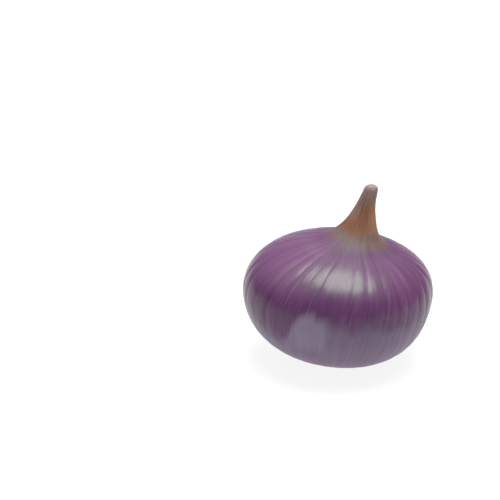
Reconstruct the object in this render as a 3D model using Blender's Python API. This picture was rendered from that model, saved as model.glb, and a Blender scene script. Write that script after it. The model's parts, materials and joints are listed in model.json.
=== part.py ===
"""A red onion bulb: one grown solid, with its ribs, its dry neck and its root plate with trimmed roots.

Metres, +Z up. The origin is on the surface below the onion, under the middle of its bounding box.
The bulb leans towards +X. Its root plate is trimmed level, and that flat spot is what it rests on.
"""

import math
import random

import bmesh
import bpy
from mathutils import Matrix, Vector

# The bulb, measured along its own line from the middle of its height
BULB_RADIUS = 0.0375
HALF_HEIGHT = 0.0248
WIDEST_LEVEL = 0.0027
FULLNESS = 0.139
BASE_FULLNESS = 0.106
FLATTENING = 0.010

# How it stands and grows: the tilt of the whole bulb, and the further lean above its widest level
TILT = math.radians(6.5)
LEAN = math.radians(9.6)
LEAN_START = 0.0022

# The dry neck: it flares out of the crown, sways a little and narrows to a shaft with a round end
NECK_RISE = 0.0234
NECK_END = 0.0024
SHAFT_RADIUS = 0.0016
FLARE_LENGTH = 0.0096
FLARE_REACH = 0.0105
FLARE_FADE = 5.0
SHOULDER_RADIUS = 0.0215
SWAY = 0.0003
SWAY_LEVEL = 0.0085
SWAY_SPREAD = 0.0045

# Ribs of the skin with narrow grooves between them, and the creases that gather them on the neck
RIB_COUNT = 34
RIB_STEPS = 4
RIB_HEIGHT = 0.00038
RIB_WANDER = ((5, 0.0045, 0.8), (13, 0.0020, 2.1))
CREASE_COUNT = 11
CREASE_HEIGHT = 0.00035

# The root plate, trimmed level with the surface below, the hollow round it, and its roots
PLATE_RADIUS = 0.0080
PLATE_DROP = 0.0030
PLATE_ROUND = 0.0007
PLATE_CLEARANCE = 0.0014
HOLLOW_RADIUS = 0.0105
HOLLOW_DEPTH = 0.0010
HOLLOW_SPREAD = 0.0027
ROOT_COUNT = 30
ROOT_SIDES = 4
ROOT_STEPS = 3
ROOT_RADIUS = 0.00050
ROOT_SUNK = 0.0016
ROOT_LENGTH = (0.0026, 0.0046)
ROOT_LEVEL = (0.0007, 0.0011)
ROOT_LIFT = 0.0014
ROOT_CURL = 0.28
ROOT_SEED = 11

# Rings along the meridian, crowded towards the root plate
BODY_RINGS = 16
RING_CROWDING = 1.2
NECK_RINGS = 9
END_RINGS = 3

SKIN_COLOUR = (0.20, 0.070, 0.19, 1.0)


def clear_scene():
    for obj in list(bpy.data.objects):
        bpy.data.objects.remove(obj)


def body_point(angle):
    """Radius and height of the bulb without its neck, from -90 degrees at the base to 90 at the crown."""
    up, across = math.sin(angle), math.cos(angle)
    radius = BULB_RADIUS * across * (1 + FULLNESS * up ** 2 - BASE_FULLNESS * up ** 3)
    height = HALF_HEIGHT * up + WIDEST_LEVEL * across ** 2
    if up < 0:
        height += HOLLOW_DEPTH * math.exp(-(((radius - HOLLOW_RADIUS) / HOLLOW_SPREAD) ** 2))
    return radius, height


def body_angle(radius, side):
    """The angle at which the bulb has a radius, on its crown's side, 1, or on its base's side, -1."""
    near, far = 0.0, math.pi / 2
    for _ in range(40):
        middle = (near + far) / 2
        if body_point(side * middle)[0] > radius:
            near = middle
        else:
            far = middle
    return side * near


def flare_height(radius):
    """How far the neck lifts the outline above the bulb's own curve, at a radius."""
    nearness = (FLARE_REACH / (radius - SHAFT_RADIUS)) ** FLARE_FADE
    return FLARE_LENGTH * math.log1p(nearness) / FLARE_FADE


def shaft_radius(height):
    """Radius of the neck at a height over the crown, where the crown itself is as good as level."""
    climb = math.exp(FLARE_FADE * height / FLARE_LENGTH) - 1
    return SHAFT_RADIUS + FLARE_REACH * climb ** (-1 / FLARE_FADE)


def meridian():
    """The outline as radius and height, from the root plate to the neck's end, without its end points."""
    plate_level = -HALF_HEIGHT - PLATE_DROP
    outline = [
        (PLATE_RADIUS * 0.5, plate_level),
        (PLATE_RADIUS - PLATE_ROUND, plate_level),
        (PLATE_RADIUS, plate_level + PLATE_ROUND),
    ]
    base = body_angle(PLATE_RADIUS, -1)
    shoulder = body_angle(SHOULDER_RADIUS, 1)
    for ring in range(BODY_RINGS):
        angle = base + (shoulder - base) * (ring / BODY_RINGS) ** RING_CROWDING
        radius, height = body_point(angle)
        if angle > 0:
            height += flare_height(radius)
        outline.append((radius, height))
    wide = SHOULDER_RADIUS - SHAFT_RADIUS
    narrow = shaft_radius(NECK_RISE - NECK_END) - SHAFT_RADIUS
    for ring in range(NECK_RINGS + 1):
        radius = SHAFT_RADIUS + wide * (narrow / wide) ** (ring / NECK_RINGS)
        height = body_point(body_angle(radius, 1))[1] + flare_height(radius)
        outline.append((radius, height))
    end_radius, end_level = outline[-1]
    tip_level = HALF_HEIGHT + NECK_RISE
    for ring in range(1, END_RINGS + 1):
        angle = math.pi / 2 * ring / (END_RINGS + 1)
        height = end_level + (tip_level - end_level) * math.sin(angle)
        outline.append((end_radius * math.cos(angle), height))
    return outline, plate_level, tip_level


def turn_angle(share):
    """Angle round the bulb at a share of its ribs. The ribs are of uneven width, so it wanders."""
    wander = 0
    for waves, size, start in RIB_WANDER:
        wander += size * math.sin(2 * math.pi * waves * share + start)
    return 2 * math.pi * (share + wander)


def smooth_step(value, low, high):
    share = min(max((value - low) / (high - low), 0), 1)
    return share * share * (3 - 2 * share)


def relief(share, radius, height):
    """Depth below the smooth outline: grooves between the ribs on the bulb, and creases on the neck."""
    rib = abs(math.sin(math.pi * RIB_COUNT * share)) ** 0.8
    crease = abs(math.sin(math.pi * CREASE_COUNT * share + 0.4 * math.sin(2 * math.pi * 3 * share)))
    tip_level = HALF_HEIGHT + NECK_RISE
    on_neck = smooth_step(height, HALF_HEIGHT, HALF_HEIGHT + SWAY_LEVEL)
    on_bulb = smooth_step(radius, PLATE_RADIUS, BULB_RADIUS * 0.75) * (1 - on_neck)
    before_end = 1 - smooth_step(height, tip_level - NECK_END, tip_level)
    strength = 1 + 0.35 * math.sin(2 * math.pi * 7 * share + 1.0)
    grooves = RIB_HEIGHT * strength * (1 - rib) * on_bulb
    return grooves + CREASE_HEIGHT * (1 - crease) * on_neck * before_end


def lean_offset(height):
    """Sideways shift of the bulb's own line at a height: it leans, and the neck sways a little."""
    leant = LEAN_START * math.log1p(math.exp((height - WIDEST_LEVEL) / LEAN_START))
    swayed = math.exp(-(((height - HALF_HEIGHT - SWAY_LEVEL) / SWAY_SPREAD) ** 2))
    return math.tan(LEAN) * leant + SWAY * swayed


def stance():
    """Tilts the bulb's own frame and lifts it until the middle of its base clears the surface."""
    tilt = Matrix.Rotation(TILT, 4, "Y")
    foot = tilt @ Vector((lean_offset(-HALF_HEIGHT), 0, -HALF_HEIGHT))
    return Matrix.Translation((0, 0, PLATE_CLEARANCE - foot.z)) @ tilt


def bulb_mesh():
    """The whole bulb as rings joined along the meridian, tilted, with its root plate cut level."""
    outline, plate_level, end_level = meridian()
    columns = RIB_COUNT * RIB_STEPS
    frame = stance()
    bm = bmesh.new()
    rings = []
    for radius, height in outline:
        ring = []
        for column in range(columns):
            share = column / columns
            angle = turn_angle(share)
            oval = 1 - FLATTENING * (1 - math.cos(2 * angle)) / 2 * min(1, radius / BULB_RADIUS)
            reach = radius * oval - relief(share, radius, height)
            forward = reach * math.cos(angle) + lean_offset(height)
            ring.append(bm.verts.new(frame @ Vector((forward, reach * math.sin(angle), height))))
        rings.append(ring)
    for lower, upper in zip(rings, rings[1:]):
        for column in range(columns):
            after = (column + 1) % columns
            bm.faces.new((lower[column], lower[after], upper[after], upper[column]))
    for ring, level in ((rings[0], plate_level), (rings[-1], end_level)):
        middle = bm.verts.new(frame @ Vector((lean_offset(level), 0, level)))
        for column in range(columns):
            bm.faces.new((ring[column], ring[(column + 1) % columns], middle))
    bmesh.ops.recalc_face_normals(bm, faces=bm.faces)
    whole = bm.verts[:] + bm.edges[:] + bm.faces[:]
    bmesh.ops.bisect_plane(bm, geom=whole, plane_co=(0, 0, 0), plane_no=(0, 0, 1), clear_inner=True)
    bmesh.ops.holes_fill(bm, edges=[edge for edge in bm.edges if edge.is_boundary])
    bmesh.ops.recalc_face_normals(bm, faces=bm.faces)
    mesh = bpy.data.meshes.new("onion")
    bm.to_mesh(mesh)
    bm.free()
    return mesh


def root_path(number, draw, foot):
    """Points along one root: out of the plate's side, then outwards under the bulb in a slight curl."""
    angle = 2 * math.pi * (number + draw.uniform(-0.35, 0.35)) / ROOT_COUNT
    length = draw.uniform(*ROOT_LENGTH)
    level = draw.uniform(*ROOT_LEVEL)
    lift = draw.uniform(0, ROOT_LIFT) * (1 - math.cos(angle)) / 2
    curl = draw.uniform(-ROOT_CURL, ROOT_CURL)
    path = []
    for step in range(ROOT_STEPS + 1):
        share = step / ROOT_STEPS
        reach = PLATE_RADIUS - ROOT_SUNK + (ROOT_SUNK + length) * share
        turned = angle + curl * share * share
        height = level + lift * share * share
        path.append(foot + Vector((reach * math.cos(turned), reach * math.sin(turned), height)))
    return path


def root_mesh(path):
    """A closed tube with few sides along a path, thinner towards its end."""
    bm = bmesh.new()
    rings = []
    for step, point in enumerate(path):
        along = path[min(step + 1, ROOT_STEPS)] - path[max(step - 1, 0)]
        across = along.cross(Vector((0, 0, 1))).normalized()
        over = across.cross(along).normalized()
        radius = ROOT_RADIUS * (1 - 0.4 * step / ROOT_STEPS)
        ring = []
        for side in range(ROOT_SIDES):
            angle = 2 * math.pi * (side + 0.5) / ROOT_SIDES
            spoke = math.cos(angle) * across + math.sin(angle) * over
            ring.append(bm.verts.new(point + radius * spoke))
        rings.append(ring)
    for lower, upper in zip(rings, rings[1:]):
        for side in range(ROOT_SIDES):
            after = (side + 1) % ROOT_SIDES
            bm.faces.new((lower[side], lower[after], upper[after], upper[side]))
    bm.faces.new(rings[0])
    bm.faces.new(rings[-1])
    bmesh.ops.recalc_face_normals(bm, faces=bm.faces)
    mesh = bpy.data.meshes.new("root")
    bm.to_mesh(mesh)
    bm.free()
    return mesh


def grow_roots(onion, foot):
    """Fuses the seeded roots to the onion with one union, and removes their objects."""
    roots = bpy.data.collections.new("roots")
    bpy.context.scene.collection.children.link(roots)
    draw = random.Random(ROOT_SEED)
    for number in range(ROOT_COUNT):
        roots.objects.link(bpy.data.objects.new("root", root_mesh(root_path(number, draw, foot))))
    union = onion.modifiers.new("roots", "BOOLEAN")
    union.operation = "UNION"
    union.operand_type = "COLLECTION"
    union.collection = roots
    union.solver = "EXACT"
    graph = bpy.context.evaluated_depsgraph_get()
    fused = bpy.data.meshes.new_from_object(onion.evaluated_get(graph))
    onion.modifiers.clear()
    onion.data = fused
    for root in list(roots.objects):
        bpy.data.objects.remove(root)
    bpy.data.collections.remove(roots)


def skin_material():
    material = bpy.data.materials.new("onion_skin")
    material.use_nodes = True
    shader = material.node_tree.nodes["Principled BSDF"]
    shader.inputs["Base Color"].default_value = SKIN_COLOUR
    shader.inputs["Roughness"].default_value = 0.32
    shader.inputs["Metallic"].default_value = 0.0
    return material


def centre_on_origin(mesh):
    """Moves the mesh sideways so that the origin is below the middle of its box."""
    for axis in (0, 1):
        values = [vertex.co[axis] for vertex in mesh.vertices]
        middle = (min(values) + max(values)) / 2
        for vertex in mesh.vertices:
            vertex.co[axis] -= middle


def main():
    clear_scene()
    onion = bpy.data.objects.new("onion", bulb_mesh())
    bpy.context.scene.collection.objects.link(onion)
    foot = stance() @ Vector((lean_offset(-HALF_HEIGHT), 0, -HALF_HEIGHT))
    grow_roots(onion, Vector((foot.x, foot.y, 0)))
    centre_on_origin(onion.data)
    onion.data.shade_smooth()
    onion.data.set_sharp_from_angle(angle=math.radians(40))
    onion.data.materials.clear()
    onion.data.materials.append(skin_material())


main()
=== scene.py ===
import json
import math
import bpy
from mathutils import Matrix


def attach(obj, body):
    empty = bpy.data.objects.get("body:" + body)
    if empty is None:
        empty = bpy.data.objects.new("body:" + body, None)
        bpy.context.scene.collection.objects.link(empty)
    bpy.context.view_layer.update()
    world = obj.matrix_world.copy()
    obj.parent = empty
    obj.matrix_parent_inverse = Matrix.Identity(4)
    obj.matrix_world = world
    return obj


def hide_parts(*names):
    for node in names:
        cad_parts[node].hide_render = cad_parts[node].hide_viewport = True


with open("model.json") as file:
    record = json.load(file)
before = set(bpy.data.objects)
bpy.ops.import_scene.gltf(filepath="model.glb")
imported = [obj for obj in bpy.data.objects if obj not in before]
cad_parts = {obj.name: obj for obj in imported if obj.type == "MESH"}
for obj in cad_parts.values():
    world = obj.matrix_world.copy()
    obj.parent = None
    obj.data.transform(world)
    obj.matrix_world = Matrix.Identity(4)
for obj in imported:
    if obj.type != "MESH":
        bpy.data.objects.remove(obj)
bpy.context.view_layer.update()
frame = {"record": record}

from types import SimpleNamespace

import bpy
from bpy.props import FloatProperty, FloatVectorProperty, IntProperty, PointerProperty
from mathutils import Matrix, Vector

bl_info = {
    "name": "Red onion",
    "version": (1, 0, 0),
    "blender": (4, 5, 0),
    "location": "3D View > Sidebar > Onion",
    "description": "Builds a whole red onion with papery skin, a dry neck and roots, on a studio stage",
    "category": "Add Mesh",
}


# Properties

def length(name, default, description):
    return FloatProperty(
        name=name, description=description, default=default, precision=5, unit="LENGTH", subtype="DISTANCE"
    )


def angle(name, degrees, description):
    return FloatProperty(
        name=name, description=description, default=math.radians(degrees), unit="ROTATION", subtype="ANGLE"
    )


def share(name, default, description):
    return FloatProperty(name=name, description=description, default=default, precision=3, subtype="FACTOR")


def number(name, default, description):
    return FloatProperty(name=name, description=description, default=default, precision=3)


def count(name, default, description):
    return IntProperty(name=name, description=description, default=default, min=1)


def colour(name, default, description):
    return FloatVectorProperty(
        name=name, description=description, default=(*default, 1.0), size=4, min=0.0, max=1.0, subtype="COLOR"
    )


class OnionShape(bpy.types.PropertyGroup):
    """The sizes of the bulb, its neck and its root plate, as the solid has them"""

    bulb_radius: length("Bulb radius", 0.0375, "Radius at the widest level")
    half_height: length("Half height", 0.0248, "From the middle of the bulb to its crown or base")
    widest_level: length("Widest level", 0.0027, "How far the widest level lies above the middle")
    fullness: share("Fullness", 0.139, "How full the crown and the base are")
    base_fullness: share("Base fullness", 0.106, "How much fuller the base is than the crown")
    flattening: share("Flattening", 0.010, "How much narrower the bulb is from front to back")
    tilt: angle("Tilt", 6.5, "Tilt of the whole bulb to the side")
    lean: angle("Lean", 9.6, "Further lean above the widest level")
    lean_start: length("Lean start", 0.0022, "Height over which the lean sets in")
    neck_rise: length("Neck rise", 0.0234, "From the crown to the end of the neck")
    neck_end: length("Neck end", 0.0024, "Height of the neck's rounded end")
    end_dip: length("End dip", 0.0005, "Depth of the dimple in the neck's end")
    shaft_radius: length("Shaft radius", 0.0016, "Radius that the neck narrows to")
    flare_length: length("Flare length", 0.0096, "Height over which the neck spreads into the crown")
    flare_reach: length("Flare reach", 0.0105, "Radius at which the neck begins to rise")
    flare_fade: number("Flare fade", 5.0, "How sharply the neck's rise begins")
    shoulder_radius: length("Shoulder radius", 0.0125, "Radius where the rings of the neck begin")
    sway: length("Sway", 0.0003, "Sideways sway of the neck")
    sway_level: length("Sway level", 0.0085, "Height of the sway over the crown")
    sway_spread: length("Sway spread", 0.0045, "Height over which the neck sways")
    plate_radius: length("Plate radius", 0.0080, "Radius of the root plate")
    plate_drop: length("Plate drop", 0.0030, "How far the root plate stands out of the base")
    plate_round: length("Plate edge", 0.0007, "Radius of the root plate's edge")
    plate_clearance: length("Plate clearance", 0.0014, "Height of the base over the surface below")
    hollow_radius: length("Hollow radius", 0.0105, "Radius of the hollow round the root plate")
    hollow_depth: length("Hollow depth", 0.0010, "Depth of the hollow")
    hollow_spread: length("Hollow spread", 0.0027, "Half width of the hollow")


class OnionRelief(bpy.types.PropertyGroup):
    """The ribs, creases and veins in the skin's surface"""

    rib_count: count("Ribs", 34, "Ribs round the bulb")
    rib_height: length("Rib height", 0.00036, "Depth of the grooves between the ribs")
    crease_count: count("Creases", 11, "Creases round the neck")
    crease_height: length("Crease height", 0.00026, "Depth of the creases on the neck")
    knot_height: length("Knot height", 0.00028, "Depth of the uneven places on the dry neck")
    twist: angle("Neck twist", 70.0, "How far the creases wind as they climb the neck")
    vein_count: count("Veins", 150, "Fine veins round the bulb")
    vein_height: length("Vein height", 0.000045, "Depth of the fine veins")
    dent_height: length("Dent height", 0.00022, "Depth of the broad dents in the skin")
    wave_height: length("Wave height", 0.00012, "Depth of the waves along the ribs")
    columns: count("Columns", 612, "Mesh columns round the bulb")


class OnionRoots(bpy.types.PropertyGroup):
    """The dry roots round the root plate"""

    root_count: count("Roots", 96, "Roots round the plate")
    root_steps: count("Root steps", 10, "Points along each root")
    root_sides: count("Root sides", 6, "Sides of each root")
    root_radius: length("Root radius", 0.00030, "Radius of a root at its start")
    root_sunk: length("Root sunk", 0.0016, "How deep a root starts inside the plate")
    root_short: length("Shortest root", 0.0014, "Length of the shortest root outside the plate")
    root_long: length("Longest root", 0.0042, "Length of the longest root outside the plate")
    root_worn: share("Worn roots", 0.75, "How much shorter the roots are at the front, where they broke off")
    root_low: length("Lowest root", 0.0003, "Lowest start of a root over the surface below")
    root_high: length("Highest root", 0.0012, "Highest start of a root over the surface below")
    root_lift: length("Root lift", 0.0014, "How far the roots rise on the side where the bulb is higher")
    root_curl: angle("Root curl", 24.0, "How far a root turns aside")
    root_seed: count("Root seed", 11, "Picks the roots' angles, lengths and curls")


class OnionColours(bpy.types.PropertyGroup):
    """The colours of the skin, the neck and the roots"""

    deep: colour("Deep purple", (0.080, 0.022, 0.087), "Darkest bands of the skin")
    bright: colour("Magenta", (0.150, 0.048, 0.150), "Lightest bands of the skin")
    pale: colour("Pale streak", (0.25, 0.150, 0.240), "Pale streaks between the veins")
    # Painted reflection: grey laid on the lower part of the bulb where the pale floor would be reflected
    painted_floor_reflection: colour("Bloom", (0.220, 0.168, 0.262), "Greyish bloom on the lower part of the bulb")
    # Used as a painted highlight: grey laid on the front of the bulb's upper side where the softbox is
    # reflected
    dust: colour("Dust", (0.170, 0.160, 0.175), "Grey dust on the front of the bulb's upper side")
    blush: colour("Blush", (0.18, 0.118, 0.088), "Dry tan ring where the neck leaves the bulb")
    rust: colour("Rust", (0.245, 0.093, 0.050), "Dry skin of the neck")
    # Painted light: lighter rust laid on the neck's right side
    painted_light_amber: colour("Amber", (0.42, 0.21, 0.12), "Lighter dry skin on the side that the neck leans to")
    bark: colour("Bark", (0.095, 0.036, 0.022), "Dark streaks on the neck")
    ash: colour("Ash", (0.29, 0.225, 0.225), "Weathered end of the neck")
    straw: colour("Straw", (0.42, 0.31, 0.18), "Root plate and roots")


class OnionStage(bpy.types.PropertyGroup):
    """The floor, the light and the camera"""

    floor_colour: colour("Floor", (0.15, 0.15, 0.15), "Plain pale floor")
    floor_glow: number("Floor glow", 0.88, "Light that shines up through the floor round the onion")
    floor_dim: number("Far glow", 0.45, "Light that shines up through the floor far away")
    glow_centre: length("Glow centre", 0.25, "How far behind the onion the glow is centred")
    glow_start: length("Glow start", 0.50, "Distance, front to back, at which the glow begins to fade")
    glow_end: length("Glow end", 1.20, "Distance, front to back, at which the glow has faded")
    glow_narrow: number("Glow narrowing", 2.0, "How much sooner the glow fades to the sides")
    room_colour: colour("Room", (0.22, 0.22, 0.23), "Light that comes from the room all round")
    light_colour: colour("Light", (0.94, 0.985, 0.90), "Colour of the softbox and the ceiling")
    box_height: length("Softbox height", 1.6, "Height of the softbox over the floor")
    box_across: length("Softbox across", 0.14, "How far to the right the softbox hangs")
    box_back: length("Softbox back", 0.03, "How far behind the onion the softbox hangs")
    box_width: length("Softbox width", 1.40, "Side of the softbox from left to right")
    box_depth: length("Softbox depth", 1.12, "Side of the softbox from front to back")
    box_turn: angle("Softbox turn", -38.0, "Turn of the softbox, seen from above")
    box_power: FloatProperty(
        name="Softbox power", description="Light that the softbox gives", default=38.0, unit="POWER"
    )
    ceiling_height: length("Ceiling height", 2.0, "Height of the pale ceiling over the floor")
    ceiling_width: length("Ceiling width", 4.0, "Side of the ceiling from left to right")
    ceiling_depth: length("Ceiling depth", 3.0, "Side of the ceiling from front to back")
    ceiling_power: FloatProperty(
        name="Ceiling power", description="Light that the ceiling gives", default=26.5, unit="POWER"
    )
    elevation: angle("Elevation", 22.0, "Height of the camera over the horizon, seen from the onion")
    distance: length("Distance", 0.600, "From the camera to the bulb, along the camera's line of sight")
    lens: FloatProperty(name="Lens", description="Focal length of the camera", default=108.4, unit="CAMERA")
    place_x: number(
        "Place across", 0.1721, "Bulb's middle in the picture, from its centre, as a share of the width"
    )
    place_y: number(
        "Place down", 0.0925, "Bulb's middle in the picture, below its centre, as a share of the width"
    )


# Sums on numbers or on node sockets

class Field:
    """A number that a node tree works out. Sums on it add the math nodes for them."""

    def __init__(self, tree, socket):
        self.tree = tree
        self.socket = socket

    def __add__(self, other):
        return calculate("ADD", self, other)

    def __radd__(self, other):
        return calculate("ADD", other, self)

    def __sub__(self, other):
        return calculate("SUBTRACT", self, other)

    def __rsub__(self, other):
        return calculate("SUBTRACT", other, self)

    def __mul__(self, other):
        return calculate("MULTIPLY", self, other)

    def __rmul__(self, other):
        return calculate("MULTIPLY", other, self)

    def __truediv__(self, other):
        return calculate("DIVIDE", self, other)


PLAIN_SUMS = {
    "POWER": pow,
    "SINE": math.sin,
    "COSINE": math.cos,
    "ARCCOSINE": math.acos,
    "EXPONENT": math.exp,
    "LOGARITHM": math.log,
    "LESS_THAN": lambda a, b: float(a < b),
}


def put(tree, value, socket):
    """Links a field or a socket to a socket, or sets a plain value on it."""
    if isinstance(value, Field):
        tree.links.new(value.socket, socket)
    elif isinstance(value, bpy.types.NodeSocket):
        tree.links.new(value, socket)
    else:
        socket.default_value = value


def calculate(operation, *values):
    """One sum on plain numbers, or a math node where any of them is a field."""
    fields = [value for value in values if isinstance(value, Field)]
    if not fields:
        return PLAIN_SUMS[operation](*values)
    tree = fields[0].tree
    node = tree.nodes.new("ShaderNodeMath")
    node.operation = operation
    for value, socket in zip(values, node.inputs):
        put(tree, value, socket)
    return Field(tree, node.outputs[0])


def sine(value):
    return calculate("SINE", value)


def cosine(value):
    return calculate("COSINE", value)


def exponent(value):
    return calculate("EXPONENT", value)


def power(value, index):
    return calculate("POWER", value, index)


def logarithm(value):
    return calculate("LOGARITHM", value, math.e)


def clamped(value, low=0.0, high=1.0):
    return calculate("MINIMUM", calculate("MAXIMUM", value, low), high)


def part_way(value, start, stop):
    """0 at the start, 1 at the stop, and level outside them."""
    return clamped((value - start) / (stop - start))


def smooth_way(value, start, stop):
    """As part_way, with a soft beginning and end."""
    way = part_way(value, start, stop)
    return way * way * (3.0 - 2.0 * way)


def mixed(amount, low, high):
    return low + (high - low) * amount


# The onion's form, in its own frame and in metres

# Shift of the first rib, as a share of the way round, and the waves that make the ribs' widths uneven:
# how many waves there are round the bulb, their size and their start
RIB_START = -0.013
RIB_WANDER = ((5, 0.0045, 0.8), (13, 0.0020, 2.1))

# Steps that halve the range in which a radius is looked for
HALVINGS = 40


def body_point(turned, s):
    """Radius and height of the bulb without its neck, from -90 degrees at the base to 90 at the crown."""
    up, across = sine(turned), cosine(turned)
    radius = s.bulb_radius * across * (1.0 + s.fullness * up * up - s.base_fullness * up * up * up)
    dip = (radius - s.hollow_radius) / s.hollow_spread
    hollow = s.hollow_depth * exponent(-1.0 * dip * dip) * calculate("LESS_THAN", up, 0.0)
    return radius, s.half_height * up + s.widest_level * across * across + hollow


def body_angle(radius, side, s):
    """The angle at which the bulb has a radius, on its crown's side, 1, or on its base's side, -1."""
    near, far = 0.0, math.pi / 2
    for _ in range(HALVINGS):
        middle = (near + far) / 2
        if body_point(side * middle, s)[0] > radius:
            near = middle
        else:
            far = middle
    return side * near


def flare_height(radius, s):
    """How far the neck lifts the outline above the bulb's own curve, at a radius."""
    nearness = power(s.flare_reach / (radius - s.shaft_radius), s.flare_fade)
    return s.flare_length * logarithm(1.0 + nearness) / s.flare_fade


def neck_radius(height, s):
    """Radius of the neck at a height over the crown."""
    climb = exponent(s.flare_fade * height / s.flare_length) - 1.0
    return s.shaft_radius + s.flare_reach * power(climb, -1.0 / s.flare_fade)


def neck_point(radius, s):
    """Angle, radius and height of the outline near the crown, for about a given radius."""
    across = radius / (s.bulb_radius * (1.0 + s.fullness - s.base_fullness))
    turned = calculate("ARCCOSINE", across)
    radius, height = body_point(turned, s)
    return turned, radius, height + flare_height(radius, s)


def lean_offset(height, s):
    """Sideways shift of the bulb's own line at a height: it leans, and the neck sways a little."""
    leant = s.lean_start * logarithm(1.0 + exponent((height - s.widest_level) / s.lean_start))
    off = (height - s.half_height - s.sway_level) / s.sway_spread
    return sine(s.lean) / cosine(s.lean) * leant + s.sway * exponent(-1.0 * off * off)


def turn_angle(turn):
    """Angle round the bulb at a share of its ribs. The ribs are of uneven width, so it wanders."""
    wander = RIB_START
    for waves, size, start in RIB_WANDER:
        wander = wander + size * sine(2 * math.pi * waves * turn + start)
    return 2 * math.pi * (turn + wander)


def base_place():
    """The middle of the flat face that the part rests on."""
    return next(mount for mount in frame["record"]["mounts"] if mount["name"] == "base")["pos_m"]


def bulb_frame(s):
    """Places the bulb's own frame: tilted, with its root plate over the face that the part rests on."""
    tilt = Matrix.Rotation(s.tilt, 4, "Y")
    foot = tilt @ Vector((lean_offset(-s.half_height, s), 0, -s.half_height))
    base = base_place()
    under = foot.x - s.plate_clearance * math.tan(s.tilt)
    shift = (base[0] - under, base[1] - foot.y, s.plate_clearance - foot.z)
    return Matrix.Translation(shift) @ tilt


# Node trees

def new_tree(name, groups, extra=()):
    """A geometry tree with one named input for each size in the property groups."""
    tree = bpy.data.node_groups.new(name, "GeometryNodeTree")
    values = {}
    for group in groups:
        for key, prop in group.bl_rna.properties.items():
            if key in {"rna_type", "name"} or prop.type not in {"INT", "FLOAT"} or prop.is_array:
                continue
            kind = "NodeSocketInt" if prop.type == "INT" else "NodeSocketFloat"
            socket = tree.interface.new_socket(prop.name, in_out="INPUT", socket_type=kind)
            values[key] = (socket, getattr(group, key))
    for key, name, kind, value in extra:
        socket = tree.interface.new_socket(name, in_out="INPUT", socket_type=kind)
        values[key] = (socket, value)
    tree.interface.new_socket("Geometry", in_out="OUTPUT", socket_type="NodeSocketGeometry")
    source = tree.nodes.new("NodeGroupInput")
    sockets = {socket.identifier: socket for socket in source.outputs}
    fields = {key: Field(tree, sockets[socket.identifier]) for key, (socket, _) in values.items()}
    settings = {socket.identifier: value for socket, value in values.values()}
    return tree, SimpleNamespace(**fields), settings


def add_node(tree, kind, values=None, **settings):
    """A node with its settings, and with values or links on its sockets by name or number."""
    node = tree.nodes.new(kind)
    for key, value in settings.items():
        setattr(node, key, value)
    for key, value in (values or {}).items():
        put(tree, value, node.inputs[key])
    return node


def joined(tree, x, y, z):
    return add_node(tree, "ShaderNodeCombineXYZ", {0: x, 1: y, 2: z}).outputs[0]


def store(tree, geometry, name, kind, value):
    """Keeps a value on the points under a name that a material can read."""
    node = add_node(tree, "GeometryNodeStoreNamedAttribute", {"Name": name}, data_type=kind, domain="POINT")
    put(tree, geometry, node.inputs["Geometry"])
    put(tree, value, node.inputs["Value"])
    return node.outputs[0]


def noise_field(tree, vector, scale, detail=2.0, roughness=0.5):
    """A smooth noise from about 0 to 1 at a vector."""
    values = {"Vector": vector, "Scale": scale, "Detail": detail, "Roughness": roughness}
    node = add_node(tree, "ShaderNodeTexNoise", values, noise_dimensions="3D")
    return Field(tree, node.outputs[0])


def finish_tree(tree, geometry, material):
    """Ends a tree in plain geometry with its material."""
    whole = add_node(tree, "GeometryNodeRealizeInstances", {0: geometry}).outputs[0]
    dressed = add_node(tree, "GeometryNodeSetMaterial", {0: whole})
    dressed.inputs["Material"].default_value = material
    end = tree.nodes.new("NodeGroupOutput")
    tree.links.new(dressed.outputs[0], end.inputs[0])


def grown(name, tree, settings):
    """Runs a tree on a new object, keeps what it makes as a plain mesh and removes the modifier."""
    piece = bpy.data.objects.new(name, bpy.data.meshes.new(name))
    bpy.context.scene.collection.objects.link(piece)
    modifier = piece.modifiers.new(name, "NODES")
    modifier.node_group = tree
    for identifier, value in settings.items():
        modifier[identifier] = value
    graph = bpy.context.evaluated_depsgraph_get()
    made = bpy.data.meshes.new_from_object(piece.evaluated_get(graph))
    piece.modifiers.clear()
    piece.data = made
    if not made.polygons:
        raise RuntimeError(name + " came out empty")
    material = made.materials[made.polygons[0].material_index]
    made.materials.clear()
    made.materials.append(material)
    made.polygons.foreach_set("material_index", [0] * len(made.polygons))
    return piece


def placed_sideways(tree, s, x, y, z, base):
    """A point of the bulb's own frame, tilted and shifted to where the onion stands."""
    across = x * cosine(s.tilt) + z * sine(s.tilt) + base[0]
    up = z * cosine(s.tilt) - x * sine(s.tilt) + base[2]
    return across, y + base[1], up


# The skin

# Rings of points on each part of the skin, from the root plate to the neck's end
PLATE_RINGS = 10
WALL_RINGS = 5
BODY_RINGS = 100
NECK_RINGS = 36
END_RINGS = 9

# Radius of the innermost ring on the root plate, as a share of the plate's
INNER_RING = 0.04
# How far the rings close over the neck's end, as a share of a quarter turn, and how soon it turns level
LAST_RING = 0.96
END_ROUNDING = 1.15
# How far the root plate's side is drawn in, as a share of its edge's radius
WALL_DRAW = 0.35
# Size and depth of the uneven cut face of the root plate
SCAR_SCALE = 900.0
SCAR_DEPTH = 0.00028
# Height over which the skin eases down onto the surface below
REST_EASE = 0.0003
# Keeps the end of the last rib from counting as one rib more
JUST_UNDER_ONE = 0.999999


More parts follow.
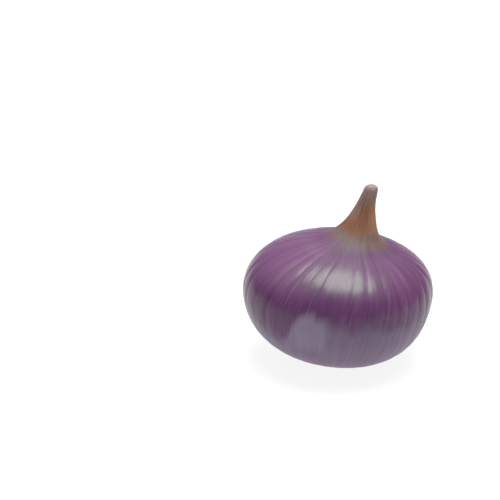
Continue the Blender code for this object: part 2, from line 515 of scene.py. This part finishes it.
def skin_outline(ring, s):
    """Radius, height and run along the outline at a ring, from the root plate to the neck's end."""
    first = PLATE_RINGS
    second = first + WALL_RINGS
    third = second + BODY_RINGS
    fourth = third + NECK_RINGS
    fifth = fourth + END_RINGS

    plate_level = -1.0 * s.half_height - s.plate_drop
    plate_radius = s.plate_radius * mixed(part_way(ring, 0, first), INNER_RING, 1.0)
    edge = clamped((plate_radius - s.plate_radius + s.plate_round) / s.plate_round)
    plate_height = plate_level + s.plate_round * (1.0 - calculate("SQRT", 1.0 - edge * edge))

    wall = part_way(ring, first, second)
    wall_radius = s.plate_radius - WALL_DRAW * s.plate_round * sine(math.pi * wall)
    wall_height = mixed(wall, plate_level + s.plate_round, s.base_height)

    turned = mixed(part_way(ring, second, third), s.base_angle, s.shoulder_angle)
    body_radius, body_height = body_point(turned, s)
    body_flare = flare_height(body_radius, s) * (1.0 - calculate("LESS_THAN", turned, 0.0))

    wide = s.shoulder_radius - s.shaft_radius
    narrow = s.end_radius - s.shaft_radius
    neck_reach = s.shaft_radius + wide * power(narrow / wide, part_way(ring, third, fourth))
    neck_turned, neck_reach, neck_height = neck_point(neck_reach, s)

    end = part_way(ring, fourth, fifth)
    end_radius = s.end_radius * cosine(end * (math.pi / 2 * LAST_RING))
    rounded = sine(clamped(END_ROUNDING * end) * (math.pi / 2))
    end_height = mixed(rounded, s.end_height, s.tip_height) - s.end_dip * smooth_way(end, 0.65, 1.0)

    zones = (
        (first, wall_radius, wall_height, s.base_angle),
        (second, body_radius, body_height + body_flare, turned + body_flare / s.bulb_radius),
        (third, neck_reach, neck_height, neck_turned + flare_height(neck_reach, s) / s.bulb_radius),
        (fourth, end_radius, end_height, None),
    )
    radius, height, run = plate_radius, plate_height, s.base_angle
    for start, zone_radius, zone_height, zone_run in zones:
        after = 1.0 - calculate("LESS_THAN", ring, start - 0.5)
        radius = mixed(after, radius, zone_radius)
        height = mixed(after, height, zone_height)
        if zone_run is not None:
            run = mixed(after, run, zone_run)
    return radius, height, run


def skin_relief(tree, turn, radius, height, run, s):
    """Depth below the smooth outline, and the ridges that the material reads."""
    tip = s.half_height + s.neck_rise
    around = (cosine(2 * math.pi * turn), sine(2 * math.pi * turn))
    on_neck = smooth_way(height, s.half_height, s.half_height + s.sway_level)
    on_bulb = smooth_way(radius, s.plate_radius, s.bulb_radius * 0.75) * (1.0 - on_neck)
    before_end = 1.0 - smooth_way(height, tip - s.neck_end, tip)

    rib = power(calculate("ABSOLUTE", sine(math.pi * s.rib_count * turn)), 0.8)
    strength = 1.0 + 0.35 * sine(2 * math.pi * turn) + 0.20 * sine(2 * math.pi * 17 * turn + 0.3)
    low = 1.0 - 0.70 * (1.0 - smooth_way(height, -0.4 * s.half_height, 0.5 * s.half_height))
    grooves = s.rib_height * strength * low * (1.0 - rib) * on_bulb

    climb = (height - s.half_height) / s.neck_rise
    bend = 0.4 * sine(2 * math.pi * 3 * turn) + s.twist * climb
    crease = calculate("ABSOLUTE", sine(math.pi * s.crease_count * turn + bend))
    creases = s.crease_height * (1.0 - crease) * on_neck * (0.70 + 0.30 * before_end)

    fibre = joined(tree, around[0] * 5.0, around[1] * 5.0, height * 260.0)
    knots = noise_field(tree, fibre, 1.0, 2.0)
    creases = creases + s.knot_height * (knots - 0.5) * on_neck * (2.2 - 1.2 * before_end)

    veined = joined(tree, around[0] * s.vein_count / 6.0, around[1] * s.vein_count / 6.0, run * 1.6)
    vein = noise_field(tree, veined, 1.0, 1.0)
    veins = s.vein_height * part_way(vein, 0.35, 0.65) * (1.0 + 3.0 * on_neck)

    broad = joined(tree, around[0] * 1.6, around[1] * 1.6, run * 1.1)
    dents = s.dent_height * part_way(noise_field(tree, broad, 1.0, 1.0), 0.35, 0.75) * on_bulb
    wavy = joined(tree, around[0] * 7.0, around[1] * 7.0, run * 3.6)
    waves = s.wave_height * part_way(noise_field(tree, wavy, 1.0, 1.0), 0.3, 0.7) * on_bulb
    level = 0.5 * (s.dent_height + s.wave_height) * on_bulb + 0.5 * s.vein_height
    return grooves + creases + veins + dents + waves - level, rib


def skin_tree(s, relief, material):
    """The whole skin: a tube of rings whose points are moved to the onion's outline and relief."""
    tip = s.half_height + s.neck_rise
    base_angle = body_angle(s.plate_radius, -1, s)
    shoulder_angle = body_angle(s.shoulder_radius, 1, s)
    end_radius = neck_radius(s.neck_rise - s.neck_end, s)
    end_height = neck_point(end_radius, s)[2]
    base = bulb_frame(s).translation
    extra = (
        ("base_angle", "Base angle", "NodeSocketFloat", base_angle),
        ("base_height", "Base height", "NodeSocketFloat", body_point(base_angle, s)[1]),
        ("shoulder_angle", "Shoulder angle", "NodeSocketFloat", shoulder_angle),
        ("end_radius", "End radius", "NodeSocketFloat", end_radius),
        ("end_height", "End height", "NodeSocketFloat", end_height),
        ("tip_height", "Tip height", "NodeSocketFloat", tip),
        ("place_x", "Place X", "NodeSocketFloat", base.x),
        ("place_y", "Place Y", "NodeSocketFloat", base.y),
        ("place_z", "Place Z", "NodeSocketFloat", base.z),
    )
    tree, f, settings = new_tree("onion skin", (s, relief), extra)
    rings = PLATE_RINGS + WALL_RINGS + BODY_RINGS + NECK_RINGS + END_RINGS
    values = {"Vertices": f.columns, "Side Segments": rings, "Fill Segments": 1, "Radius": 1.0, "Depth": 1.0}
    tube = add_node(tree, "GeometryNodeMeshCylinder", values, fill_type="TRIANGLE_FAN")
    position = tree.nodes.new("GeometryNodeInputPosition").outputs[0]
    place = add_node(tree, "ShaderNodeSeparateXYZ", {0: position})
    x, y, z = (Field(tree, socket) for socket in place.outputs)
    ring = (z + 0.5) * rings
    solid = calculate("SQRT", x * x + y * y)
    turn = calculate("ARCTAN2", y, x) / (2 * math.pi)
    turn = turn + calculate("LESS_THAN", turn, 0.0)

    radius, height, run = skin_outline(ring, f)
    height = mixed(solid, mixed(calculate("LESS_THAN", z, 0.0), f.tip_height - f.end_dip, height), height)
    depth, ridge = skin_relief(tree, turn, radius, height, run, f)
    turned = turn_angle(turn)
    oval = 1.0 - f.flattening * (1.0 - cosine(2.0 * turned)) / 2.0 * clamped(radius / f.bulb_radius)
    reach = (radius * oval - depth * clamped(2.5 * radius / f.plate_radius)) * solid
    forward = reach * cosine(turned) + lean_offset(height, f)
    spot = placed_sideways(tree, f, forward, reach * sine(turned), height, (f.place_x, f.place_y, f.place_z))
    scar = noise_field(tree, joined(tree, x * radius * SCAR_SCALE, y * radius * SCAR_SCALE, 0.0), 1.0, 2.0)
    floor = SCAR_DEPTH * scar * (1.0 - smooth_way(radius, f.plate_radius * 0.9, f.plate_radius))
    level = calculate("SMOOTH_MAX", spot[2], floor, REST_EASE)

    circle = 2 * math.pi * turn
    band = add_node(tree, "ShaderNodeTexWhiteNoise", noise_dimensions="1D")
    put(tree, calculate("FLOOR", turn * f.rib_count * JUST_UNDER_ONE), band.inputs["W"])
    plate = 1.0 - smooth_way(radius, f.plate_radius * 0.98, f.plate_radius * 1.12)
    plate = plate * calculate("LESS_THAN", z, 0.0)
    geometry = tube.outputs["Mesh"]
    geometry = store(tree, geometry, "grain", "FLOAT_VECTOR", joined(tree, cosine(circle), sine(circle), run))
    geometry = store(tree, geometry, "ridge", "FLOAT", ridge)
    geometry = store(tree, geometry, "band", "FLOAT", band.outputs["Value"])
    geometry = store(tree, geometry, "climb", "FLOAT", (height - f.half_height) / f.neck_rise)
    geometry = store(tree, geometry, "reach", "FLOAT", radius / f.bulb_radius)
    geometry = store(tree, geometry, "plate", "FLOAT", plate)
    moved = add_node(tree, "GeometryNodeSetPosition", {"Geometry": geometry})
    put(tree, joined(tree, spot[0], spot[1], level), moved.inputs["Position"])
    smooth = add_node(tree, "GeometryNodeSetShadeSmooth", {0: moved.outputs[0]})
    finish_tree(tree, smooth.outputs[0], material)
    return tree, settings


# The roots

# Lowest and highest of what is drawn for each root: its start between its neighbours, its side turn,
# its rise and its thickness, each as a share of the size it belongs to
ROOT_START = (-0.45, 0.45)
ROOT_CURL = (-1.0, 1.0)
ROOT_RISE = (-0.3, 1.0)
ROOT_THICK = (0.65, 1.15)


def strands(tree, number, steps):
    """Straight strands of a given number of points, with the share along each and the number of each."""
    points = add_node(tree, "GeometryNodePoints", {"Count": number}).outputs[0]
    index = tree.nodes.new("GeometryNodeInputIndex").outputs[0]
    points = store(tree, points, "strand", "INT", index)
    line = add_node(tree, "GeometryNodeCurvePrimitiveLine", {"End": (1.0, 0.0, 0.0)}).outputs[0]
    line = add_node(tree, "GeometryNodeResampleCurve", {"Curve": line, "Count": steps}).outputs[0]
    copies = add_node(tree, "GeometryNodeInstanceOnPoints", {"Points": points, "Instance": line}).outputs[0]
    whole = add_node(tree, "GeometryNodeRealizeInstances", {0: copies}).outputs[0]
    along = Field(tree, tree.nodes.new("GeometryNodeSplineParameter").outputs["Factor"])
    strand = add_node(tree, "GeometryNodeInputNamedAttribute", {"Name": "strand"}, data_type="INT").outputs[0]
    return whole, along, strand


def drawn(tree, low, high, strand, seed):
    """A random number for each strand."""
    node = tree.nodes.new("FunctionNodeRandomValue")
    for value, socket in ((low, node.inputs[2]), (high, node.inputs[3]), (strand, node.inputs["ID"])):
        put(tree, value, socket)
    put(tree, seed, node.inputs["Seed"])
    return Field(tree, node.outputs[1])


def roots_tree(s, roots, material):
    """Thin curled roots that leave the root plate's side and lie outwards under the bulb."""
    base = base_place()
    extra = (
        ("place_x", "Place X", "NodeSocketFloat", base[0]),
        ("place_y", "Place Y", "NodeSocketFloat", base[1]),
    )
    tree, f, settings = new_tree("onion roots", (s, roots), extra)
    geometry, along, strand = strands(tree, f.root_count, f.root_steps)
    number = Field(tree, strand)
    start = drawn(tree, *ROOT_START, strand, f.root_seed)
    length_out = drawn(tree, f.root_short, f.root_long, strand, f.root_seed + 1)
    level = drawn(tree, f.root_low, f.root_high, strand, f.root_seed + 2)
    curl = drawn(tree, *ROOT_CURL, strand, f.root_seed + 3) * f.root_curl
    rise = drawn(tree, *ROOT_RISE, strand, f.root_seed + 4) * f.root_lift
    thick = drawn(tree, *ROOT_THICK, strand, f.root_seed + 5) * f.root_radius * (1.0 - 0.55 * along * along)

    circle = 2 * math.pi * (number + start) / f.root_count
    wiggle = 0.10 * sine(along * 9.0 + number * 2.4)
    turned = circle + curl * along * along + wiggle * along
    length_out = length_out * (1.0 - f.root_worn * smooth_way(0.0 - sine(circle), -0.1, 0.8))
    reach = f.plate_radius - f.root_sunk + (f.root_sunk + length_out) * along
    lift = rise * (1.0 - cosine(circle)) / 2.0 * along * along + 0.00012 * sine(along * 11.0 + number * 1.7)
    height = calculate("SMOOTH_MAX", level + lift, thick * 1.1, 0.0002)
    spot = joined(tree, f.place_x + reach * cosine(turned), f.place_y + reach * sine(turned), height)

    geometry = store(tree, geometry, "along", "FLOAT", along)
    geometry = store(tree, geometry, "thick", "FLOAT", thick)
    moved = add_node(tree, "GeometryNodeSetPosition", {"Geometry": geometry, "Position": spot}).outputs[0]
    values = {"Resolution": f.root_sides, "Radius": 1.0}
    outline = add_node(tree, "GeometryNodeCurvePrimitiveCircle", values).outputs[0]
    size = add_node(tree, "GeometryNodeInputNamedAttribute", {"Name": "thick"}, data_type="FLOAT").outputs[0]
    values = {"Curve": moved, "Profile Curve": outline, "Scale": size, "Fill Caps": True}
    tube = add_node(tree, "GeometryNodeCurveToMesh", values).outputs[0]
    smooth = add_node(tree, "GeometryNodeSetShadeSmooth", {0: tube}).outputs[0]
    finish_tree(tree, smooth, material)
    return tree, settings


# Materials

# Direction, seen from above, that the patch of painted floor reflection on the lower part of the bulb faces
PATCH_FACES = (-0.245, -0.970)
# Climb over which the skin counts as the bulb's upper side
UPPER_SIDE = -0.93
# Least roughness of the skin. Where it goes lower, a false line shows across the crown
SMOOTHEST = 0.28


def new_material(name):
    material = bpy.data.materials.new(name)
    material.use_nodes = True
    return material, material.node_tree, material.node_tree.nodes["Principled BSDF"]


def attribute(tree, name, output="Fac"):
    node = add_node(tree, "ShaderNodeAttribute", attribute_name=name)
    return Field(tree, node.outputs[output])


def stretched(tree, vector, scale):
    node = add_node(tree, "ShaderNodeVectorMath", {0: vector, 1: scale}, operation="MULTIPLY")
    return node.outputs[0]


def blended(tree, amount, low, high):
    """A colour between two."""
    node = tree.nodes.new("ShaderNodeMix")
    node.data_type = "RGBA"
    put(tree, amount, node.inputs["Factor"])
    for value, socket in ((low, node.inputs[6]), (high, node.inputs[7])):
        put(tree, tuple(value) if isinstance(value, bpy.types.bpy_prop_array) else value, socket)
    return node.outputs[2]


def layered(tree, colour, layers):
    """A colour with others laid over it in turn, each by its own amount."""
    for amount, over in layers:
        colour = blended(tree, amount, colour, over)
    return colour


def skin_marks(tree):
    """The marks kept on the skin's points, and noises that run along its grain."""
    grain = attribute(tree, "grain", "Vector").socket
    sides = add_node(tree, "ShaderNodeSeparateXYZ", {0: grain}).outputs
    x, y = Field(tree, sides[0]), Field(tree, sides[1])
    spot = add_node(tree, "ShaderNodeTexCoord").outputs["Object"]
    return SimpleNamespace(
        ridge=attribute(tree, "ridge"),
        band=attribute(tree, "band"),
        climb=attribute(tree, "climb"),
        reach=attribute(tree, "reach"),
        plate=attribute(tree, "plate"),
        left=clamped(0.0 - x),
        right=clamped(x),
        front=clamped(PATCH_FACES[0] * x + PATCH_FACES[1] * y),
        broad=noise_field(tree, stretched(tree, grain, (2.2, 2.2, 0.9)), 1.0, 2.0),
        patch=noise_field(tree, stretched(tree, grain, (4.5, 4.5, 1.2)), 1.0, 1.0),
        fleck=noise_field(tree, stretched(tree, grain, (9.0, 9.0, 7.0)), 1.0, 4.0, 0.6),
        streak=noise_field(tree, stretched(tree, grain, (13.0, 13.0, 0.8)), 1.0, 3.0, 0.6),
        vein=noise_field(tree, stretched(tree, grain, (34.0, 34.0, 0.7)), 1.0, 2.0, 0.6),
        hair=noise_field(tree, stretched(tree, grain, (110.0, 110.0, 2.4)), 1.0, 2.0, 0.6),
        crumb=noise_field(tree, spot, 1100.0, 3.0, 0.6),
    )


def bulb_colour(tree, m, colours):
    """Purple in bands along the ribs, with pale streaks and darker veins, painted shade in the grooves and on
    the crown, painted light on the upper left and the right flank, and a painted highlight on the front.
    """
    upper = smooth_way(m.climb, -0.52, 0.0)
    # Painted shade: darker, less pale purple on the crown round the neck's foot, against the softbox's
    # reflection there
    crown = smooth_way(m.climb, -0.13, 0.0)
    # Painted shade: deep purple laid into the grooves between the ribs
    painted_groove_shade = 1.0 - smooth_way(m.ridge, 0.0, 0.60)
    # Painted light: lighter, paler purple on the upper left side and low on the right flank, standing in for
    # the haze of the softbox's light
    light = smooth_way(m.left, 0.25, 0.85) * smooth_way(m.climb, -0.82, -0.50)
    light = clamped(light + 0.32 * smooth_way(m.right, 0.1, 0.7) * smooth_way(m.climb, -1.0, -0.7))
    # Painted highlight: on the front of the upper side, where the softbox is reflected, the purple is
    # darkened and laid over with grey so that the highlight looks whiter
    highlight_zone = smooth_way(m.front, 0.6, 0.95) * smooth_way(m.climb, -0.60, -0.35)
    tone = 0.18 * m.band + 0.8 * (m.streak - 0.30) + 0.6 * (m.broad - 0.40)
    tone = clamped(clamped(tone + 0.45 * light - 0.25 * crown) - 0.15 * highlight_zone)
    pale = smooth_way(m.vein, 0.54, 0.74) * (0.10 + 0.30 * m.broad)
    pale = clamped(pale + upper * (0.02 + 0.20 * m.streak) + 0.12 * light - 0.12 * crown)
    layers = (
        (tone, colours.bright),
        # Painted highlight: grey where the softbox is reflected
        (0.12 * highlight_zone * (1.0 - upper), colours.dust),
        (pale, colours.pale),
        (smooth_way(m.vein, 0.46, 0.30) * 0.40, colours.deep),
        (painted_groove_shade * 0.25 * (1.0 - 0.5 * upper), colours.deep),
        (smooth_way(m.hair, 0.55, 0.8) * 0.15, colours.pale),
    )
    return layered(tree, colours.deep, layers)


def painted_reflection_spread(m):
    """Where the painted reflection of the pale floor lies on the lower part of the bulb, and how thick it is
    there.
    """
    # A brighter patch of painted floor reflection on the front left of the lower part
    patched = smooth_way(m.front + 0.05 * (m.streak - 0.5), 0.970, 0.993)
    level = m.climb - 0.09 * patched + 0.52 * smooth_way(m.left, 0.36, 0.58)
    level = level + 0.35 * (m.patch - 0.5) + 0.25 * (m.streak - 0.5)
    spread = smooth_way(level, -0.82, -1.10)
    thick = 0.25 + 0.58 * m.streak + 0.45 * patched * smooth_way(m.climb, -1.60, -1.20)
    # Painted shade: the painted reflection thins towards the bottom, so the underside is darker
    painted_underside_shade = smooth_way(m.climb, -1.40, -1.95) * 0.60
    return spread, clamped(spread * thick * (1.0 - painted_underside_shade))


def neck_colour(tree, m, colours):
    """Rust with tan and dark streaks, and painted light on the neck's right side, the side that it leans to.
    """
    layers = (
        (smooth_way(m.vein, 0.50, 0.72) * 0.5, colours.blush),
        (smooth_way(m.vein, 0.50, 0.30) * 0.8, colours.bark),
        # Painted light on the neck's right side
        (0.75 * smooth_way(m.right, 0.1, 0.9), colours.painted_light_amber),
        (0.18 * smooth_way(m.climb, 0.46, 0.28), colours.bark),
    )
    return layered(tree, colours.rust, layers)


def skin_material(colours):
    """Thin dry skin: purple on the bulb, tan at the neck's foot, rust above it, straw at the root plate."""
    material, tree, shader = new_material("papery onion skin")
    m = skin_marks(tree)
    painted_floor_reflection, painted_reflection_amount = painted_reflection_spread(m)
    foot = smooth_way(m.climb + 0.10 * (m.streak - 0.5) + 0.08 * m.right, -0.01, 0.15)
    neck = smooth_way(m.climb + 0.16 * (m.streak - 0.5), 0.14, 0.32)
    # Ash towards the neck's end, and greyer up the neck's left side
    ashen = smooth_way(m.climb - 0.25 * m.left, 0.50, 1.0) * 0.75
    ashen = clamped(ashen + 0.55 * m.left * smooth_way(m.climb, 0.32, 0.52))
    top = 1.0 - calculate("LESS_THAN", m.climb, UPPER_SIDE)
    low = (1.0 - smooth_way(m.reach, 0.22, 0.48)) * (1.0 - top)
    scar = blended(tree, smooth_way(m.crumb, 0.48, 0.66) * 0.75, colours.straw, colours.bark)
    layers = (
        # Painted reflection of the pale floor on the lower part of the bulb
        (painted_reflection_amount, colours.painted_floor_reflection),
        (foot * (0.50 + 0.50 * m.streak), colours.blush),
        (neck, neck_colour(tree, m, colours)),
        (ashen, colours.ash),
        (low * 0.75, colours.blush),
        (m.plate, scar),
    )
    skin = layered(tree, bulb_colour(tree, m, colours), layers)
    put(tree, skin, shader.inputs["Base Color"])

    dry = clamped(neck + m.plate)
    matt = smooth_way(m.reach, 0.62, 0.42) * top
    rough = SMOOTHEST + 0.005 + 0.08 * (m.fleck - 0.5) + 0.06 * (m.streak - 0.5)
    rough = rough + 0.26 * matt + 0.15 * dry + 0.16 * painted_floor_reflection
    put(tree, clamped(rough, SMOOTHEST, 1.0), shader.inputs["Roughness"])
    shader.inputs["IOR"].default_value = 1.41
    shader.inputs["Specular Tint"].default_value = (0.84, 1.0, 0.82, 1.0)
    shader.inputs["Coat Weight"].default_value = 0.18
    shader.inputs["Coat IOR"].default_value = 1.36
    shader.inputs["Coat Roughness"].default_value = 0.50
    relief = 0.5 * m.vein + 0.35 * m.hair + 0.3 * m.fleck * dry + 0.8 * m.crumb * m.plate
    values = {"Strength": 0.35, "Distance": 0.00012, "Height": relief}
    put(tree, add_node(tree, "ShaderNodeBump", values).outputs[0], shader.inputs["Normal"])
    return material


def root_material(colours):
    """Dry roots: straw, with darker ends and fine dust."""
    material, tree, shader = new_material("dry onion root")
    along = attribute(tree, "along")
    spot = add_node(tree, "ShaderNodeTexCoord").outputs["Object"]
    dust = noise_field(tree, spot, 900.0, 3.0)
    straw = blended(tree, smooth_way(dust, 0.35, 0.65) * 0.5, colours.straw, colours.ash)
    put(tree, blended(tree, along * 0.5, straw, colours.rust), shader.inputs["Base Color"])
    shader.inputs["Roughness"].default_value = 0.8
    values = {"Strength": 0.5, "Distance": 0.00005, "Height": dust}
    put(tree, add_node(tree, "ShaderNodeBump", values).outputs[0], shader.inputs["Normal"])
    return material


# Operators

class ONION_OT_skin(bpy.types.Operator):
    """Makes the bulb's skin with its neck and root plate, in place of the plain solid"""

    bl_idname = "onion.make_skin"
    bl_label = "Make the skin"

    def execute(self, context):
        scene = context.scene
        material = skin_material(scene.onion_colours)
        tree, settings = skin_tree(scene.onion_shape, scene.onion_relief, material)
        skin = grown("papery_skin", tree, settings)
        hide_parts("onion")
        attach(skin, "root")
        return {"FINISHED"}


class ONION_OT_roots(bpy.types.Operator):
    """Makes the dry roots round the root plate"""

    bl_idname = "onion.make_roots"
    bl_label = "Make the roots"

    def execute(self, context):
        scene = context.scene
        tree, settings = roots_tree(scene.onion_shape, scene.onion_roots, root_material(scene.onion_colours))
        roots = grown("dry_roots", tree, settings)
        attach(roots, "root")
        return {"FINISHED"}


def aim(camera, stage, middle):
    """Puts the camera where the bulb's middle falls on its place in the picture."""
    high = stage.elevation
    forward = Vector((0, math.cos(high), -math.sin(high)))
    up = Vector((0, math.sin(high), math.cos(high)))
    width = stage.distance * camera.data.sensor_width / stage.lens
    across, over = stage.place_x * width, -stage.place_y * width
    camera.location = middle - forward * stage.distance - Vector((1, 0, 0)) * across - up * over
    camera.rotation_euler = (math.pi / 2 - high, 0, 0)


def hang_light(name, stage, watts, sides, place, outline="RECTANGLE", turn=0.0):
    """A flat light that faces down."""
    light = bpy.data.lights.new(name, "AREA")
    light.shape = outline
    light.size, light.size_y = sides
    light.energy = watts
    light.color = stage.light_colour[:3]
    lamp = bpy.data.objects.new(name, light)
    lamp.location = place
    lamp.rotation_euler = (0.0, 0.0, turn)
    bpy.context.scene.collection.objects.link(lamp)


class ONION_OT_stage(bpy.types.Operator):
    """Makes the pale floor, the softbox, the room light and the camera"""

    bl_idname = "onion.make_stage"
    bl_label = "Make the stage"

    def execute(self, context):
        scene = context.scene
        stage = scene.onion_stage
        material, tree, shader = new_material("pale floor")
        shader.inputs["Base Color"].default_value = stage.floor_colour
        shader.inputs["Roughness"].default_value = 0.9
        shader.inputs["Specular IOR Level"].default_value = 0.1
        shader.inputs["Emission Color"].default_value = (1.0, 1.0, 1.0, 1.0)
        spot = add_node(tree, "ShaderNodeTexCoord").outputs["Object"]
        sides = add_node(tree, "ShaderNodeSeparateXYZ", {0: spot}).outputs
        x = Field(tree, sides[0]) * stage.glow_narrow
        y = Field(tree, sides[1]) - stage.glow_centre
        away = smooth_way(calculate("SQRT", x * x + y * y), stage.glow_start, stage.glow_end)
        put(tree, mixed(away, stage.floor_glow, stage.floor_dim), shader.inputs["Emission Strength"])
        mesh = bpy.data.meshes.new("floor")
        half, level = 6.0, -0.00004
        corners = [(-half, -half, level), (half, -half, level), (half, half, level), (-half, half, level)]
        mesh.from_pydata(corners, [], [(0, 1, 2, 3)])
        mesh.materials.append(material)
        floor = bpy.data.objects.new("floor", mesh)
        scene.collection.objects.link(floor)

        sides = (stage.box_width, stage.box_depth)
        place = (stage.box_across, stage.box_back, stage.box_height)
        hang_light("softbox", stage, stage.box_power, sides, place, "ELLIPSE", stage.box_turn)
        sides = (stage.ceiling_width, stage.ceiling_depth)
        hang_light("ceiling", stage, stage.ceiling_power, sides, (0.0, 0.0, stage.ceiling_height))

        world = bpy.data.worlds.new("room")
        world.use_nodes = True
        world.node_tree.nodes["Background"].inputs["Color"].default_value = stage.room_colour
        scene.world = world

        lens = bpy.data.cameras.new("camera")
        lens.lens = stage.lens
        lens.clip_start = 0.01
        lens.clip_end = 20.0
        camera = bpy.data.objects.new("camera", lens)
        scene.collection.objects.link(camera)
        aim(camera, stage, bulb_frame(scene.onion_shape).translation)
        scene.camera = camera
        scene.view_settings.view_transform = "Standard"
        return {"FINISHED"}


class VIEW3D_PT_onion(bpy.types.Panel):
    """Lists the onion's pieces and their sizes"""

    bl_label = "Red onion"
    bl_space_type = "VIEW_3D"
    bl_region_type = "UI"
    bl_category = "Onion"

    def draw(self, context):
        layout = self.layout
        for operator in OPERATORS:
            layout.operator(operator.bl_idname)
        for group, holder in GROUPS.items():
            box = layout.box()
            box.label(text=holder.__doc__)
            for key in holder.__annotations__:
                box.prop(getattr(context.scene, group), key)


OPERATORS = (ONION_OT_skin, ONION_OT_roots, ONION_OT_stage)
GROUPS = {
    "onion_shape": OnionShape,
    "onion_relief": OnionRelief,
    "onion_roots": OnionRoots,
    "onion_colours": OnionColours,
    "onion_stage": OnionStage,
}


def register():
    for kind in (*GROUPS.values(), *OPERATORS, VIEW3D_PT_onion):
        bpy.utils.register_class(kind)
    for name, kind in GROUPS.items():
        setattr(bpy.types.Scene, name, PointerProperty(type=kind))


def unregister():
    for name in GROUPS:
        delattr(bpy.types.Scene, name)
    for kind in reversed((*GROUPS.values(), *OPERATORS, VIEW3D_PT_onion)):
        bpy.utils.unregister_class(kind)


def main():
    register()
    bpy.ops.onion.make_skin()
    bpy.ops.onion.make_roots()
    bpy.ops.onion.make_stage()


if __name__ == "__main__":
    main()
